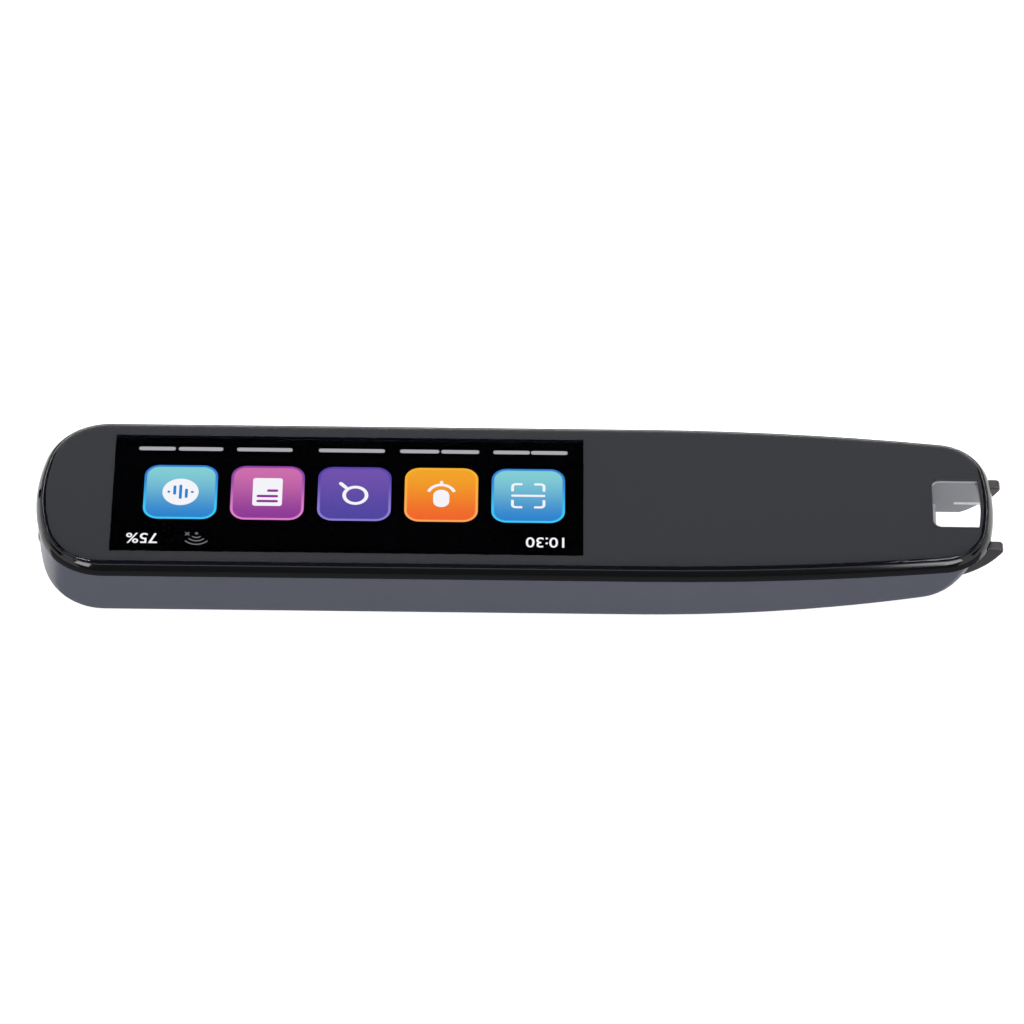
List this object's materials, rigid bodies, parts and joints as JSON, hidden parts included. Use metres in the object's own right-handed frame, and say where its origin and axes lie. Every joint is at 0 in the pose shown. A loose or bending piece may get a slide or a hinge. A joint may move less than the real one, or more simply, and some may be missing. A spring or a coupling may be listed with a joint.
{
  "type": "handheld scanning translator",
  "caption": "Pen-shaped scanning translator with a touch display, a clear scanning window over an open throat, two sprung prongs that trigger it and a side power button.",
  "frame": {"origin": "middle of the overall length and width, on the flat of the back", "axes": "+X from the tail to the scanning tip, +Y to the side with the power button, +Z from the back up through the cover glass"},
  "size_m": [0.1466, 0.0308, 0.0126],
  "materials": {
    "smoked_glass": "polished, clear, with a soft ground edge",
    "black_print": "opaque black ink",
    "white_print": "opaque white ink",
    "tape": "black adhesive tape",
    "frame_black": "high gloss moulded black",
    "cover_satin": "satin blue-grey moulded plastic",
    "screen": "lit colour display",
    "backlight_white": "white light guide",
    "flex_film": "amber polyimide film",
    "steel": "bare sheet steel",
    "board_mask": "green solder mask",
    "chip_black": "moulded black epoxy",
    "cell_pouch": "aluminium pouch foil",
    "lead_red": "soft insulation",
    "connector_white": "moulded nylon",
    "foam": "closed-cell foam",
    "speaker_black": "moulded black basket",
    "contact_gold": "gold-plated spring contact",
    "tongue_black": "moulded tongue",
    "button_dark": "satin dark plastic",
    "fork_dark": "matte dark brown-black plastic",
    "shroud_grey": "fine matte grey plastic",
    "diffuser_white": "milky white light diffuser",
    "clear_pane": "clear optical pane",
    "spring_steel": "spring wire"
  },
  "bodies": {
    "housing": {"cover_glass": "smoked_glass", "mask_film": "black_print", "window_line": "white_print", "glass_tape": "tape", "bezel_frame": "frame_black", "rear_cover": "cover_satin", "display_cell": "screen", "backlight_unit": "backlight_white", "display_flex": "flex_film", "support_plate": "steel", "main_board": "board_mask", "board_chips": "chip_black", "processor_shield": "steel", "board_screws": "steel", "battery_cell": "cell_pouch", "battery_leads": "lead_red", "battery_connector": "connector_white", "speaker_unit": "speaker_black", "speaker_gasket": "foam", "speaker_contacts": "contact_gold", "usb_receptacle": "steel", "usb_tongue": "tongue_black", "microphone": "steel", "antenna": "flex_film", "power_switch": "chip_black", "return_springs": "spring_steel", "trigger_switch": "chip_black", "light_shroud": "shroud_grey", "led_board": "board_mask", "light_emitters": "diffuser_white", "led_diffuser": "diffuser_white", "camera_window": "clear_pane", "camera_module": "chip_black", "camera_lens": "clear_pane", "camera_flex": "flex_film"},
    "fork": {"scan_fork": "fork_dark", "trigger_plunger": "connector_white"},
    "power_button": {"power_button": "button_dark", "power_switch_plunger": "connector_white"}
  },
  "joints": [
    {"name": "fork_press", "type": "slide", "parent": "housing", "child": "fork", "axis": [-1, 0, 0], "range_m": [0, 0.0008], "stiffness_N_per_m": 400, "springref_m": -0.0002, "deforming": ["return_springs"]},
    {"name": "power_press", "type": "slide", "parent": "housing", "child": "power_button", "axis": [0, -1, 0], "range_m": [0, 0.0003], "stiffness_N_per_m": 1500, "springref_m": -0.0001}
  ]
}
